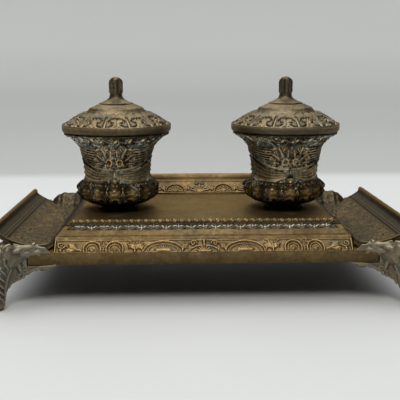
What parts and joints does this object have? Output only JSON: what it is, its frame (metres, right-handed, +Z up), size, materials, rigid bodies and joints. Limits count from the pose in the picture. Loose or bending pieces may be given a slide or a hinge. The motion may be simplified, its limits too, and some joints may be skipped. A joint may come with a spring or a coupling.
{
  "type": "inkwell",
  "caption": "Cast brass desk inkstand: a footed tray with upturned ends, a pen channel and a back gallery, carrying hinged-lid inkwells with porcelain pots.",
  "frame": {"origin": "on the floor, under the middle of the tray", "axes": "+Z up, +X along the tray towards the right-hand well, -Y towards the front with the pen channel"},
  "size_m": [0.2496, 0.1436, 0.1298],
  "materials": {
    "tray_brass": "cast relief, brown patina with worn golden edges",
    "leg_brass": "cast relief, brown patina with green corrosion in the hollows",
    "cup_brass": "cast relief, dark patina with green corrosion in the hollows",
    "lid_brass": "cast relief, brown patina with worn golden edges",
    "porcelain": "glazed white porcelain, opaque, stained with ink inside",
    "fixings": "dull, darkened steel"
  },
  "bodies": {
    "stand": {"tray": "tray_brass", "front_left_leg": "leg_brass", "front_right_leg": "leg_brass", "rear_left_leg": "leg_brass", "rear_right_leg": "leg_brass", "front_left_leg_screw": "fixings", "front_right_leg_screw": "fixings", "rear_left_leg_screw": "fixings", "rear_right_leg_screw": "fixings", "left_bowl": "cup_brass", "left_body": "cup_brass", "left_ink_pot": "porcelain", "left_hinge_pin": "fixings", "left_bolt": "fixings", "left_washer": "fixings", "left_bolt_nut": "fixings", "right_bowl": "cup_brass", "right_body": "cup_brass", "right_ink_pot": "porcelain", "right_hinge_pin": "fixings", "right_bolt": "fixings", "right_washer": "fixings", "right_bolt_nut": "fixings"},
    "left_lid": {"left_lid": "lid_brass", "left_finial": "lid_brass", "left_finial_nut": "fixings"},
    "right_lid": {"right_lid": "lid_brass", "right_finial": "lid_brass", "right_finial_nut": "fixings"}
  },
  "joints": [
    {"name": "left_lid_hinge", "type": "hinge", "parent": "stand", "child": "left_lid", "pos_m": [-0.054, 0.0368, 0.0958], "axis": [-1, 0, 0], "range_deg": [0, 105]},
    {"name": "right_lid_hinge", "type": "hinge", "parent": "stand", "child": "right_lid", "pos_m": [0.054, 0.0368, 0.0958], "axis": [-1, 0, 0], "range_deg": [0, 105]}
  ]
}
